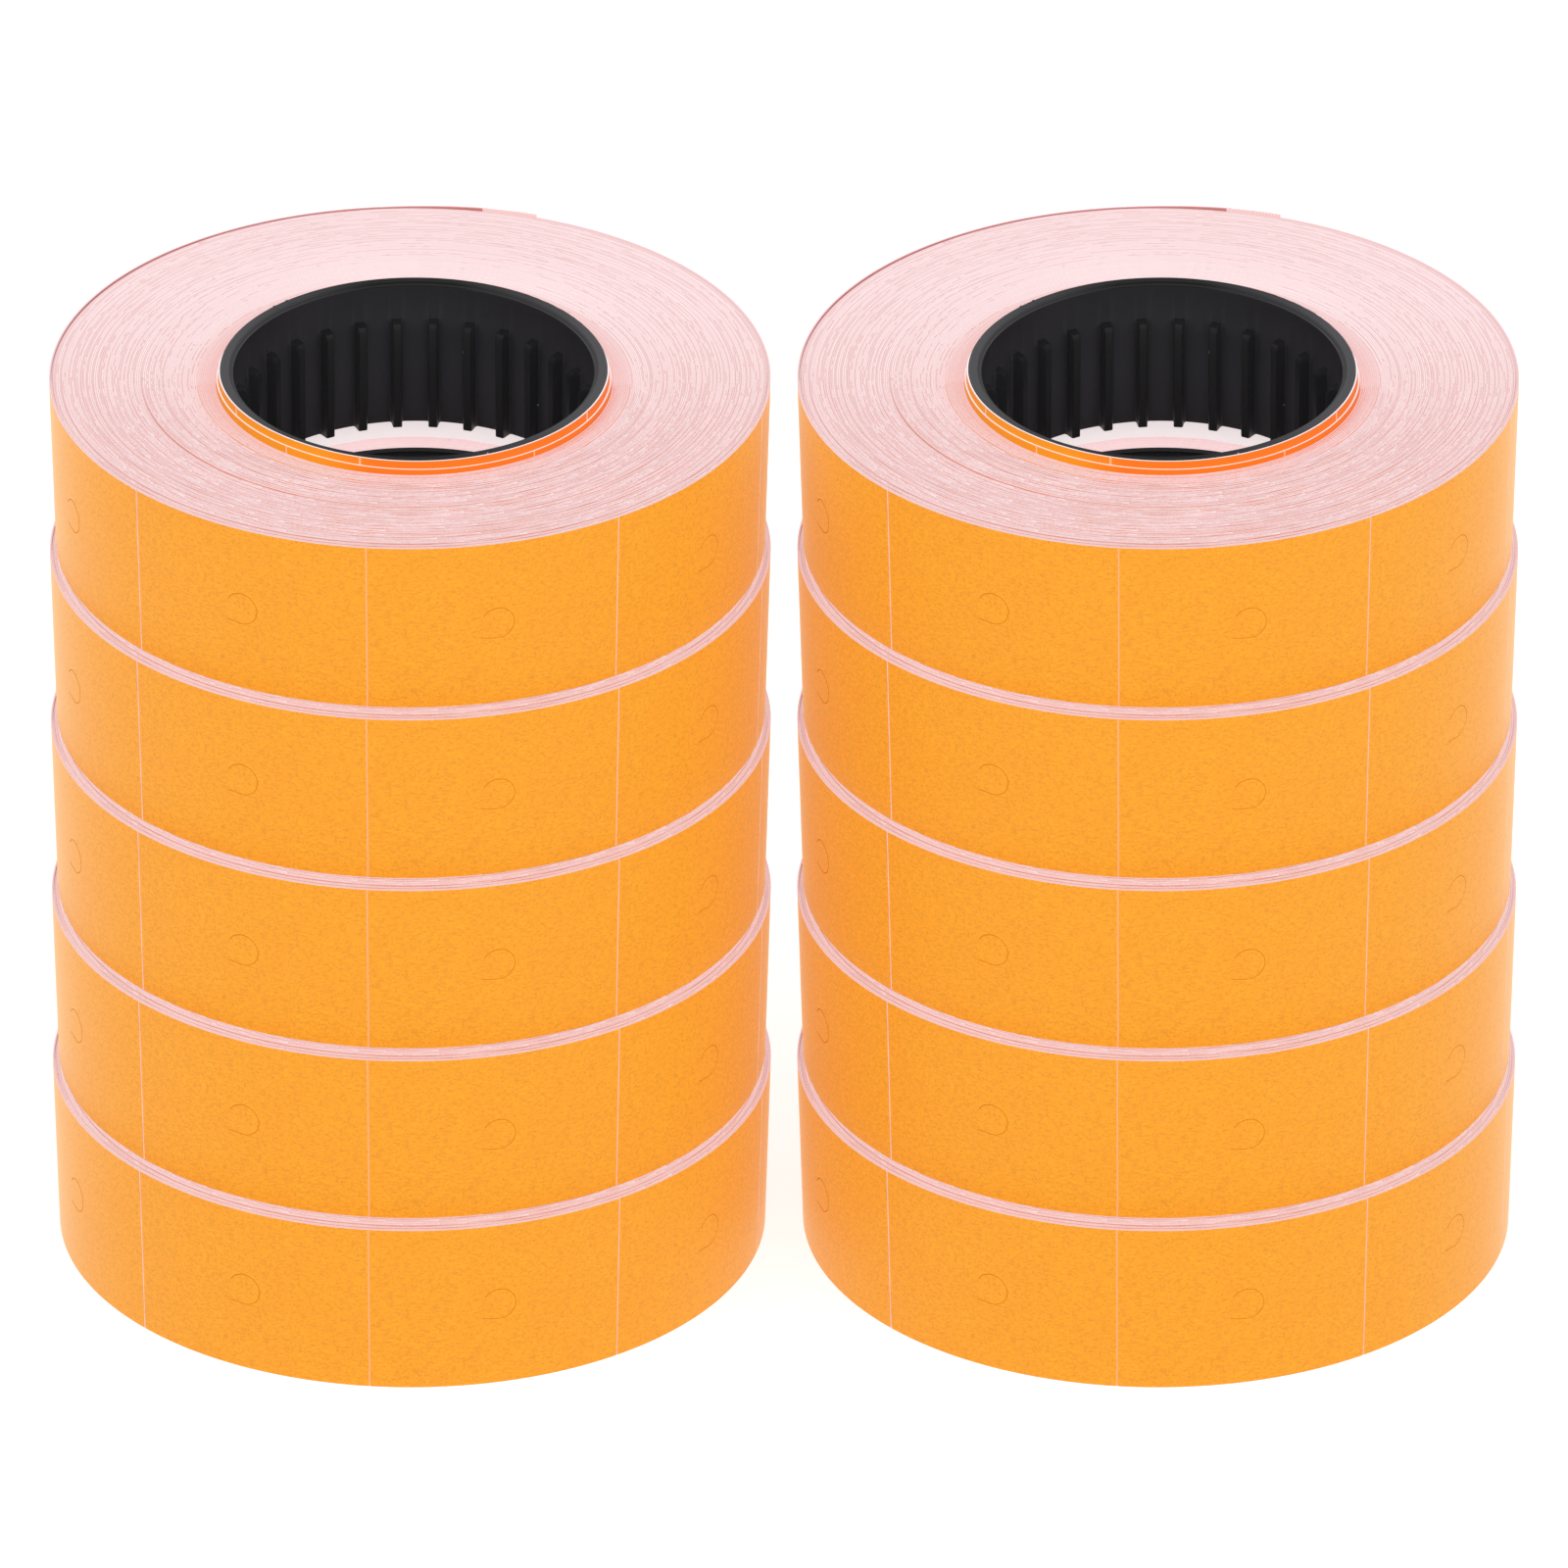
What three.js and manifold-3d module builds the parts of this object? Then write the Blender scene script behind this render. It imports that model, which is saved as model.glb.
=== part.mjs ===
// Ten rolls of 23 x 16 mm price labels, in two stacks of five.
// Millimetres, +Z up. The rolls lie flat, and the front of the set faces -Y.
// Each roll is one long strip of liner and labels, wound on a ribbed plastic core. The strip is
// made here as four pieces: the first turns, the wound pack, the last turns and the free end.

import * as THREE from 'three';
import { mergeVertices } from 'three/addons/utils/BufferGeometryUtils.js';
import Module from 'manifold-3d';

// The strip and the roll
const STRIP_WIDTH = 16;
const TURN_THICKNESS = 0.165;
const ROLL_RADIUS = 31.5;
const EDGE_FLARE = 0.25;
const INNER_TURN_COUNT = 11;
const OUTER_TURN_COUNT = 4;
const TAIL_TURN_COUNT = 2;
const RADIAL_GAP = 0.1;

// The free end, as angles about the roll's axis from +X
const TAIL_TIP_ANGLE = 70;
const TAIL_HINGE_ANGLE = 95;
const TAIL_END_GAP = 0.2;

// The core, which is shorter than the strip is wide
const CORE_HEIGHT = 13.8;
const CORE_RADIUS = 17;
const CORE_BORE_RADIUS = 15.85;
const RIB_COUNT = 30;
const RIB_WIDTH = 0.8;
const RIB_DEPTH = 1.1;
const RIB_ROOT = 0.5;
const RIM_HEIGHT = 3.6;
const CORE_PROUD = 0.8;

// The two stacks
const ROLLS_PER_STACK = 5;
const STACK_SPACING = 65.6;
const STACK_STEP_BACK = 1.75;
const ROLL_GAP = 0.05;

const RING_FACETS = 48;
const TAIL_FACETS = 4;

const TAIL_THICKNESS = TAIL_TURN_COUNT * TURN_THICKNESS;
const FIRST_TURNS_OUTER = CORE_RADIUS + RADIAL_GAP + INNER_TURN_COUNT * TURN_THICKNESS;
const LAST_TURNS_INNER = ROLL_RADIUS - OUTER_TURN_COUNT * TURN_THICKNESS;
const FLARED_FROM_RADIUS = (FIRST_TURNS_OUTER + LAST_TURNS_INNER) / 2;

const wasm = await Module();
wasm.setup();

const labelPaper = new THREE.MeshStandardMaterial({ color: 0xffa52e, roughness: 0.75, metalness: 0 });
const woundEdges = new THREE.MeshStandardMaterial({ color: 0xf7d8d3, roughness: 0.9, metalness: 0 });
const corePlastic = new THREE.MeshStandardMaterial({ color: 0x1e1e20, roughness: 0.5, metalness: 0 });

function onCircle(radius, degrees) {
  const angle = THREE.MathUtils.degToRad(degrees);
  return new THREE.Vector2(radius * Math.cos(angle), radius * Math.sin(angle));
}

// Points along an arc. The radius is a function of the angle in degrees, so an arc can be a spiral.
function arc(radiusAt, fromDegrees, toDegrees, facets) {
  const points = [];
  for (let i = 0; i <= facets; i += 1) {
    const degrees = fromDegrees + ((toDegrees - fromDegrees) * i) / facets;
    points.push(onCircle(radiusAt(degrees), degrees));
  }
  return points;
}

function circle(radius, facets, startDegrees = 0) {
  return arc(() => radius, startDegrees, startDegrees + 360, facets).slice(0, -1);
}

// The strip's outer surface, which loses one turn's thickness in each full turn from its free end.
function spiralRadius(degrees) {
  return ROLL_RADIUS - (TURN_THICKNESS * (degrees - TAIL_TIP_ANGLE)) / 360;
}

function extrude(outline, hole, height) {
  const shape = new THREE.Shape(outline);
  if (hole) {
    shape.holes.push(new THREE.Path(hole));
  }
  return new THREE.ExtrudeGeometry(shape, { depth: height, bevelEnabled: false, steps: 1 });
}

// Leans the roll's outer skin outwards towards the top edge.
function flareTop(geometry) {
  const position = geometry.getAttribute('position');
  const scale = 1 + EDGE_FLARE / ROLL_RADIUS;
  for (let i = 0; i < position.count; i += 1) {
    const radius = Math.hypot(position.getX(i), position.getY(i));
    if (position.getZ(i) > STRIP_WIDTH / 2 && radius > FLARED_FROM_RADIUS) {
      position.setX(i, position.getX(i) * scale);
      position.setY(i, position.getY(i) * scale);
    }
  }
  geometry.computeVertexNormals();
  return geometry;
}

function toSolid(geometry) {
  const bare = geometry.clone();
  bare.deleteAttribute('normal');
  bare.deleteAttribute('uv');
  const merged = mergeVertices(bare);
  const mesh = new wasm.Mesh({
    numProp: 3,
    vertProperties: Float32Array.from(merged.getAttribute('position').array),
    triVerts: Uint32Array.from(merged.getIndex().array),
  });
  return new wasm.Manifold(mesh);
}

function toGeometry(solid) {
  const mesh = solid.getMesh();
  const geometry = new THREE.BufferGeometry();
  geometry.setAttribute('position', new THREE.BufferAttribute(mesh.vertProperties, 3));
  geometry.setIndex(new THREE.BufferAttribute(mesh.triVerts, 1));
  geometry.computeVertexNormals();
  return geometry;
}

// A tube with a plain rim at the top and drive ribs down the rest of its bore. Its top is level with
// the strip's top edge.
function coreGeometry() {
  const facetAngle = 360 / RIB_COUNT;
  const outline = circle(CORE_RADIUS, RIB_COUNT, facetAngle / 2);
  const bore = circle(CORE_BORE_RADIUS, RIB_COUNT, facetAngle / 2);
  let core = toSolid(extrude(outline, bore, CORE_HEIGHT));
  const ribLength = RIB_DEPTH + RIB_ROOT;
  const ribHeight = CORE_HEIGHT - RIM_HEIGHT;
  for (let i = 0; i < RIB_COUNT; i += 1) {
    const rib = new THREE.BoxGeometry(ribLength, RIB_WIDTH, ribHeight);
    rib.translate(CORE_BORE_RADIUS - RIB_DEPTH + ribLength / 2, 0, ribHeight / 2);
    rib.rotateZ(THREE.MathUtils.degToRad(i * facetAngle));
    core = core.add(toSolid(rib));
  }
  return toGeometry(core).translate(0, 0, STRIP_WIDTH - CORE_HEIGHT);
}

// The first turns of the strip, tight round the core.
function innerTurnsGeometry() {
  const outline = circle(FIRST_TURNS_OUTER, RING_FACETS);
  const hole = circle(CORE_RADIUS + RADIAL_GAP, RING_FACETS);
  return extrude(outline, hole, STRIP_WIDTH);
}

// All the turns between the first and the last ones.
function woundPackGeometry() {
  const outline = circle(LAST_TURNS_INNER - RADIAL_GAP, RING_FACETS);
  const hole = circle(FIRST_TURNS_OUTER + RADIAL_GAP, RING_FACETS);
  return flareTop(extrude(outline, hole, STRIP_WIDTH));
}

// The last turns of the strip, with a shallow seat where the free end lies.
function outerTurnsGeometry() {
  const seatRadius = (degrees) => spiralRadius(degrees) - TAIL_THICKNESS - RADIAL_GAP;
  const skin = arc(spiralRadius, TAIL_HINGE_ANGLE, TAIL_TIP_ANGLE + 360, RING_FACETS - TAIL_FACETS);
  const seat = arc(seatRadius, TAIL_TIP_ANGLE, TAIL_HINGE_ANGLE, TAIL_FACETS);
  const hole = circle(LAST_TURNS_INNER, RING_FACETS);
  return flareTop(extrude([...skin, ...seat], hole, STRIP_WIDTH));
}

// The free end of the strip. It bends away from the roll about a line at its hinge angle.
function tailGeometry() {
  const endGapAngle = THREE.MathUtils.radToDeg(TAIL_END_GAP / ROLL_RADIUS);
  const lastAngle = TAIL_HINGE_ANGLE - endGapAngle;
  const innerRadius = (degrees) => spiralRadius(degrees) - TAIL_THICKNESS;
  const face = arc(spiralRadius, TAIL_TIP_ANGLE, lastAngle, TAIL_FACETS);
  const back = arc(innerRadius, TAIL_TIP_ANGLE, lastAngle, TAIL_FACETS).reverse();
  return flareTop(extrude([...face, ...back], null, STRIP_WIDTH));
}

// Each piece of a roll: its name, its shape and its material.
const rollPieces = [
  { name: 'core', geometry: coreGeometry(), material: corePlastic },
  { name: 'inner_turns', geometry: innerTurnsGeometry(), material: labelPaper },
  { name: 'wound_pack', geometry: woundPackGeometry(), material: woundEdges },
  { name: 'outer_turns', geometry: outerTurnsGeometry(), material: labelPaper },
  { name: 'tail', geometry: tailGeometry(), material: labelPaper },
];

// rises holds how far a piece stands out of the roll's top face, for the pieces that do.
function roll(name, rises) {
  const group = new THREE.Group();
  for (const piece of rollPieces) {
    const mesh = new THREE.Mesh(piece.geometry.clone(), piece.material.clone());
    mesh.name = `${name}_${piece.name}`;
    mesh.position.z = rises[piece.name] ?? 0;
    group.add(mesh);
  }
  return group;
}

// Rolls 1 to 5 from the bottom up. Each stands a little further back than the one below it. The top
// roll's core and first turns stand proud, and that leaves room under it for a proud core.
function stack(letter, x) {
  const group = new THREE.Group();
  for (let level = 1; level <= ROLLS_PER_STACK; level += 1) {
    const rises = {
      core: level >= ROLLS_PER_STACK - 1 ? CORE_PROUD : 0,
      inner_turns: level === ROLLS_PER_STACK ? CORE_PROUD : 0,
    };
    const member = roll(`roll_${letter}${level}`, rises);
    const stepsFromMiddle = level - (ROLLS_PER_STACK + 1) / 2;
    member.position.set(x, stepsFromMiddle * STACK_STEP_BACK, (level - 1) * (STRIP_WIDTH + ROLL_GAP));
    group.add(member);
  }
  return group;
}

const group = new THREE.Group();
group.add(stack('a', -STACK_SPACING / 2));
group.add(stack('b', STACK_SPACING / 2));

// The origin is the middle of the underside of the whole set's box.
group.updateMatrixWorld(true);
const middle = new THREE.Box3().setFromObject(group, true).getCenter(new THREE.Vector3());
group.position.set(-middle.x, -middle.y, 0);
group.updateMatrixWorld(true);

export default group;
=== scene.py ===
import math

import bpy
import numpy as np
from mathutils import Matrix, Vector


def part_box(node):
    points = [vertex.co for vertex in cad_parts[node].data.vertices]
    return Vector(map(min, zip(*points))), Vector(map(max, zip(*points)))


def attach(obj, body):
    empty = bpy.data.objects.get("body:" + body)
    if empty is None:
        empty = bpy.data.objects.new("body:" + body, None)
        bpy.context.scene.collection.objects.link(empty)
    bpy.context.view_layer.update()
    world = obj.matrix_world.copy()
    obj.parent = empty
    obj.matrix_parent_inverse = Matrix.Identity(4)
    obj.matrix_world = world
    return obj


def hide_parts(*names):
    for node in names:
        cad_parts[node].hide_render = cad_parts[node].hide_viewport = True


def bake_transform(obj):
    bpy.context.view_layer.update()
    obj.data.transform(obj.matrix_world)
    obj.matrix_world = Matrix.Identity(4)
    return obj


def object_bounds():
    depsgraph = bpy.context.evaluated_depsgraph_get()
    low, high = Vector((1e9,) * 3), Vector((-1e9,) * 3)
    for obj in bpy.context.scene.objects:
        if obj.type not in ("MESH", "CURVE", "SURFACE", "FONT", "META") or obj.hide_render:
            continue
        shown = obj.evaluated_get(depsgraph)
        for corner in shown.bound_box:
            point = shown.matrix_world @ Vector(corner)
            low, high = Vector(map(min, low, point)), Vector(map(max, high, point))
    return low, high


# Ten rolls of price labels in two stacks. Each roll is a strip of liner and labels on a ribbed
# core. Every mesh is made about its roll's own axis, and the frame says where each roll stands.

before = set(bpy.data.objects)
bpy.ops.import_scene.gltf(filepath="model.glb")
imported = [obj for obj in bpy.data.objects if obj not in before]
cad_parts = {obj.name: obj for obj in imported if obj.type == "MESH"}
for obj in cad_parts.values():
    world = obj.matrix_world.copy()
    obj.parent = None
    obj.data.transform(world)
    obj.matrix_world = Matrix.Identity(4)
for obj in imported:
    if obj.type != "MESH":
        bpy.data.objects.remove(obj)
cad_low, cad_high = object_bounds()

MM = 0.001
ROLLS = [f"roll_{stack}{level}" for stack in "ab" for level in range(1, 6)]
FIRST = ROLLS[0]

# The strip: a liner with labels on its outer side, one turn thick
TURN = 0.165 * MM
LINER = 0.08 * MM
LABEL_LENGTH = 23.0 * MM
LABEL_GAP = 0.13 * MM
SHEET_CLEARANCE = 0.004 * MM
SMALL_EDGE = 0.02 * MM

# The free end and the last turn. The angles are in degrees about the roll's axis, from +X.
TIP_ANGLE = 70.0
LAST_LABEL_END = 78.0
HINGE_ANGLE = 95.0
TIP_LIFT = 0.4 * MM
UNDERCUT = 0.25 * MM

# The C-shaped security cut in each label, with its ends as angles in degrees
CUT_RADIUS = 1.5 * MM
CUT_WIDTH = 0.1 * MM
CUT_HEIGHT = 0.018 * MM
CUT_ENDS = (-96.0, 149.0)
CUT_TAIL = 1.35 * MM

# The core
RIB_COUNT = 30
RIB_DEPTH = 1.1 * MM
RIM_HEIGHT = 3.6 * MM
CORE_WALL = 1.15 * MM
CORE_EDGE = 0.1 * MM
CORE_OFFSET = 0.3 * MM
RIM_SLOPE = 0.36 * MM
RIM_DROP = 0.26 * MM
FLASH_ANGLES = (131.7, 136.8)
FLASH_WIDTH = 0.26 * MM
FLASH_HEIGHT = 0.06 * MM
BURR_ANGLE = 42.0
BURR_SPREAD = 16.0
BURR_HEIGHT = 0.07 * MM
CORE_SEED = 7

# Half of a rib across the bore: a distance from its middle in mm, and a share of its full depth
RIB_PROFILE = ((0.0, 1.0), (0.34, 1.0), (0.43, 0.9), (0.48, 0.14), (0.6, 0.0))

# The first turns. The innermost ones rise with the core, and the strip is loose round them at one side.
INNER_TURNS = 11
INNER_TURNS_SEED = 11
INNER_TURNS_SUNK = 0.05 * MM
INNER_TURNS_WANDER = 0.02 * MM
FIRST_TURN_CLEARANCE = 0.03 * MM
FIRST_TURN_TOPS = (1.0, 0.1)
FIRST_GAP_ANGLE = 254.5
GAP_ANGLE_STEP = -24.0
FIRST_GAP_WIDTH = 0.2 * MM
LOOSE_ANGLE = -38.0
LOOSE_SPREAD = 34.0
LOOSE_SLACK = 0.34 * MM
LOOSE_SHARES = (0.0, 0.3, 0.62, 0.88)
PULLED_UP_ANGLE = 228.0
PULLED_UP_SHARE = 0.3

# The wound faces
MOST_SUNK = 0.5 * MM
LAST_TURN_STEP = 0.22 * MM
DISH_DEPTH = 0.34 * MM
DISH_WIDTH = 3.0 * MM
RAISED_TURN_RADIUS = 23.6 * MM
RAISED_TURN_ANGLE = 205.0
UNDERSIDE_STEPS = 25
WOUND_PACK_SEED = 23

# How far the wound turns' edges wander from the wound face, in mm, and the share of them that stand out
MEAN_SUNK = 0.045
WANDER = 0.012
WANDER_NEAR_CORE = 0.024
WANDER_NEAR_OUTSIDE = 0.008
FRAY = 0.011
SUNK_OUTSIDE_RAISED_TURN = (0.11, 0.07, 0.04)
STANDING_TURN_SHARE = 0.12
STANDING_TURN_RISE = (0.03, 0.07)

# The mesh columns in a full turn about the axis
PACK_COLUMNS = 240
BAND_COLUMNS = 240

# The camera
CAMERA_ELEVATION = math.radians(28.8)
CAMERA_LENS = 1200.0
CAMERA_SENSOR = 36.0
OBJECT_SHARE_OF_FRAME = 0.9345
PICTURE_DROP = 0.008

# The studio
LIGHT_DISTANCE = 1.2
FLOOR_HALF_WIDTHS = 40
FLOOR_DROP = 0.05 * MM
FLOOR_GLOW = 0.8
WORLD_STRENGTH = 0.75

# Colours, linear
ORANGE = (0.55, 0.188, 0.002, 1)
ORANGE_WARM = (0.54, 0.170, 0.002, 1)
ORANGE_OLIVE = (0.30, 0.100, 0.002, 1)
# Painted light: the even glow of the orange label paper, which evens out its shading
ORANGE_PAINTED_LIGHT = (1.0, 0.41, 0.018, 1)
# Painted light and shade: the labels next to the core, lighter at the left and darker at the right
INNER_LABEL_PAINTED_SHADE = (0.80, 0.160, 0.003, 1)
INNER_LABEL_PAINTED_LIGHT = (0.78, 0.270, 0.003, 1)
CUT_LIGHT = (0.62, 0.20, 0.005, 1)
CUT_DARK = (0.48, 0.14, 0.004, 1)
LINER_LIGHT = (0.46, 0.43, 0.435, 1)
LINER_DARK = (0.42, 0.385, 0.39, 1)
# Painted light: the glow of the white liner, which lifts it where it lies in shade
LINER_PAINTED_LIGHT = (1.0, 0.92, 0.93, 1)
TINTED_LIGHT = (0.68, 0.28, 0.11, 1)
TINTED_DARK = (0.62, 0.24, 0.09, 1)
# Painted light: the glow of the liner where the orange shows through it
TINTED_PAINTED_LIGHT = (1.0, 0.44, 0.18, 1)
# Painted light: the liner lit from behind through the label outside it
BACKLIT_LIGHT = (0.60, 0.27, 0.28, 1)
BACKLIT_DARK = (0.54, 0.22, 0.22, 1)
# Painted shade: a darker copy of the label orange, for the steps between the wound turns
STEP_SHADE_LIGHT = (0.72, 0.31, 0.22, 1)
STEP_SHADE_DARK = (0.52, 0.20, 0.15, 1)
EDGE_PALE = (0.383, 0.317, 0.325, 1)
EDGE_PINK = (0.313, 0.217, 0.22, 1)
EDGE_SALMON = (0.273, 0.127, 0.095, 1)
# Painted shade: the dark line in the gaps between the wound turns
EDGE_SEAM_SHADE = (0.002, 0.001, 0.001, 1)
EDGE_BLUSH = (0.373, 0.067, 0.015, 1)
# Painted light: the glow of the wound turns' cut edges
EDGE_PAINTED_LIGHT = (1.0, 0.70, 0.71, 1)
SPECK_GREY = (0.013, 0.037, 0.035, 1)
# Painted light and shade in the core: the wall and ribs lighter lower down the bore, the ribs darker than
# the wall, and the rim lighter at its left and right sides
WALL_BLACK = (0.017, 0.016, 0.018, 1)
WALL_PAINTED_LIGHT_GREY = (0.050, 0.047, 0.052, 1)
RIB_PAINTED_SHADE_BLACK = (0.008, 0.008, 0.008, 1)
RIB_PAINTED_SHADE_GREY = (0.028, 0.027, 0.029, 1)
RIM_BLACK = (0.008, 0.008, 0.008, 1)
RIM_PAINTED_LIGHT_GREY = (0.070, 0.069, 0.074, 1)
DUST = (0.35, 0.35, 0.36, 1)
FLOOR_GREY = (0.35, 0.35, 0.35, 1)
WHITE = (1, 1, 1, 1)

# The order of the paper pieces' material slots, and of the core's
LABEL, EDGE, PALE, CUT, TINTED, BACKLIT, PAINTED_SHADE_LABEL, STEP_SHADE_LABEL = range(8)
WALL, RIB, RIM = range(3)


def roll_axis(roll):
    """The point where a roll's axis meets the underside of its wound pack."""
    core_low, core_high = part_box(f"{roll}_core")
    pack_low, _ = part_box(f"{roll}_wound_pack")
    return Vector(((core_low.x + core_high.x) / 2, (core_low.y + core_high.y) / 2, pack_low.z))


def corner_radius(roll, node, at_top=False):
    """The largest distance from a roll's axis of a CAD node's corners, at its underside or its top."""
    axis = roll_axis(roll)
    low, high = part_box(f"{roll}_{node}")
    level = high.z if at_top else low.z
    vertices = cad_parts[f"{roll}_{node}"].data.vertices
    corners = [v.co for v in vertices if abs(v.co.z - level) < SMALL_EDGE]
    return max(math.hypot(co.x - axis.x, co.y - axis.y) for co in corners)


def height_above_roll(roll, node):
    """How far a CAD node's underside is above the underside of its roll."""
    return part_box(f"{roll}_{node}")[0].z - roll_axis(roll).z


PACK_LOW, PACK_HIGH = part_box(f"{FIRST}_wound_pack")
STRIP_WIDTH = PACK_HIGH.z - PACK_LOW.z
ROLL_RADIUS = corner_radius(FIRST, "outer_turns")
EDGE_FLARE = corner_radius(FIRST, "outer_turns", at_top=True) - ROLL_RADIUS
LABEL_PITCH = math.degrees((LABEL_LENGTH + LABEL_GAP) / ROLL_RADIUS)
CORE_LOW, CORE_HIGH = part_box(f"{FIRST}_core")
CORE_HEIGHT = CORE_HIGH.z - CORE_LOW.z
CORE_RADIUS = corner_radius(FIRST, "core")
CORE_BORE = CORE_RADIUS - CORE_WALL
PACK_BORE = corner_radius(FIRST, "inner_turns") + SMALL_EDGE


class Surface:
    """The points and faces of one mesh, added as grids of points."""

    def __init__(self):
        self.points = []
        self.faces = []
        self.slots = []

    def grid(self, rows, slot, round_rows=False, round_columns=False):
        """Faces between the neighbours in rows of points. slot is one number, or one for each row of
        faces, or one for each face."""
        rows = np.asarray(rows, float)
        row_count, column_count = rows.shape[:2]
        index = len(self.points) + np.arange(row_count * column_count).reshape(row_count, column_count)
        self.points.extend(rows.reshape(-1, 3).tolist())
        if round_rows:
            index = np.vstack([index, index[:1]])
        if round_columns:
            index = np.hstack([index, index[:, :1]])
        faces = np.stack([index[:-1, :-1], index[:-1, 1:], index[1:, 1:], index[1:, :-1]], -1)
        slots = np.asarray(slot)
        if slots.ndim == 1:
            slots = slots[:, None]
        self.faces.extend(faces.reshape(-1, 4).tolist())
        self.slots.extend(np.broadcast_to(slots, faces.shape[:2]).reshape(-1).tolist())
        return index

    def tube(self, rows, slot, end_slot=None):
        """A closed section swept along the columns of rows, with a face at each end."""
        index = self.grid(rows, slot, round_rows=True)[:-1]
        end_slot = slot if end_slot is None else end_slot
        self.faces.extend([index[:, 0].tolist(), index[::-1, -1].tolist()])
        self.slots.extend([end_slot, end_slot])

    def mesh(self, name, materials, sharp_angle=None):
        """The finished mesh, smooth except over edges sharper than sharp_angle in degrees, or all flat."""
        mesh = bpy.data.meshes.new(name)
        mesh.from_pydata(self.points, [], self.faces)
        for material in materials:
            mesh.materials.append(material)
        mesh.polygons.foreach_set("material_index", np.array(self.slots, np.int32))
        if sharp_angle is not None:
            mesh.polygons.foreach_set("use_smooth", np.ones(len(self.faces), bool))
            mesh.set_sharp_from_angle(angle=math.radians(sharp_angle))
        mesh.update()
        return mesh


def ring(angles, radius, height):
    """Points round the axis, at angles in radians. radius and height are numbers, or one for each angle.
    The core sits a little to the right of the roll's middle, and the turns follow it less and less."""
    sideways = CORE_OFFSET * np.clip((ROLL_RADIUS - radius) / (ROLL_RADIUS - CORE_RADIUS), 0, 1)
    return np.stack([radius * np.cos(angles) + sideways, radius * np.sin(angles), height + 0 * angles], -1)


def angle_steps(start, end, columns_per_turn=BAND_COLUMNS):
    """Angles in radians from start to end in degrees."""
    count = max(2, round(abs(end - start) / 360 * columns_per_turn))
    return np.radians(np.linspace(start, end, count + 1))


def spiral(angles):
    """The radius of the last turn's outer side, which loses a turn in each full turn from the free end."""
    return ROLL_RADIUS - TURN * (np.degrees(angles) - TIP_ANGLE) / 360


def flared(radius, height):
    """The last turns lean outwards from their lower edge to their top edge."""
    return radius - UNDERCUT + (EDGE_FLARE + UNDERCUT) * height / STRIP_WIDTH


def tip_lift(angles):
    """How far the free end springs away from the roll, from nothing at its hinge line."""
    past_hinge = np.clip((HINGE_ANGLE - np.degrees(angles)) / (HINGE_ANGLE - TIP_ANGLE), 0, 1)
    return TIP_LIFT * past_hinge ** 2 * (3 - 2 * past_hinge)


def slack(angles):
    """How far the strip's loose first turns push the turns outside them outwards."""
    away = (np.degrees(angles) - LOOSE_ANGLE + 180) % 360 - 180
    return LOOSE_SLACK * np.exp(-(away / LOOSE_SPREAD) ** 2)


def band(surface, angles, inner, outer, bottom, top, slots, closed=False):
    """A band of paper round the axis, with slots for its outer side, top edge, inner side and bottom
    edge. inner and outer are functions of a height, so that the band can lean."""
    rows = [
        ring(angles, outer(bottom), bottom),
        ring(angles, outer(top), top),
        ring(angles, inner(top), top),
        ring(angles, inner(bottom), bottom),
    ]
    slots = np.stack(np.broadcast_arrays(*[np.atleast_1d(slot) for slot in slots]))
    if closed:
        surface.grid(rows, slots, round_rows=True, round_columns=True)
    else:
        surface.tube(rows, slots, end_slot=EDGE)


# Materials


def new_material(name, roughness, specular, painted_glow=None, painted_glow_strength=0.0):
    """A plain material. Its glow colour and strength are painted light: an even glow that stands in for
    light falling on the paper.
    """
    material = bpy.data.materials.new(name)
    material.use_nodes = True
    shader = shader_of(material)
    shader.inputs["Roughness"].default_value = roughness
    shader.inputs["Specular IOR Level"].default_value = specular
    if painted_glow:
        shader.inputs["Emission Color"].default_value = painted_glow
        shader.inputs["Emission Strength"].default_value = painted_glow_strength
    return material


def shader_of(material):
    return material.node_tree.nodes["Principled BSDF"]


def add_node(material, kind, inputs=None, **settings):
    """A new node. Each input is a value, or another node's output socket to link."""
    tree = material.node_tree
    made = tree.nodes.new(kind)
    for key, value in settings.items():
        setattr(made, key, value)
    for key, value in (inputs or {}).items():
        if isinstance(value, bpy.types.NodeSocket):
            tree.links.new(value, made.inputs[key])
        else:
            made.inputs[key].default_value = value
    return made


def maths(material, operation, first, second=0.0):
    return add_node(material, "ShaderNodeMath", {0: first, 1: second}, operation=operation).outputs[0]


def scaled(material, vector, factors):
    """A vector multiplied by three factors."""
    inputs = {0: vector, 1: factors}
    return add_node(material, "ShaderNodeVectorMath", inputs, operation="MULTIPLY").outputs[0]


def noise(material, vector, scale, detail=2.0):
    inputs = {"Vector": vector, "Scale": scale, "Detail": detail}
    return add_node(material, "ShaderNodeTexNoise", inputs).outputs["Fac"]


def mix_colours(material, factor, first, second):
    """A colour between two, by factor. The Mix node has its colour sockets after its number sockets."""
    tree = material.node_tree
    made = tree.nodes.new("ShaderNodeMix")
    made.data_type = "RGBA"
    sockets = [s for s in made.inputs if s.type == "RGBA"]
    for socket, value in zip(sockets, (first, second)):
        if isinstance(value, bpy.types.NodeSocket):
            tree.links.new(value, socket)
        else:
            socket.default_value = value
    tree.links.new(factor, made.inputs["Factor"])
    return [s for s in made.outputs if s.type == "RGBA"][0]


def spread(material, value, low, high, top=1.0):
    """Stretches a number from low..high to 0..top."""
    inputs = {"Value": value, "From Min": low, "From Max": high, "To Max": top}
    return add_node(material, "ShaderNodeMapRange", inputs).outputs["Result"]


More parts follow.
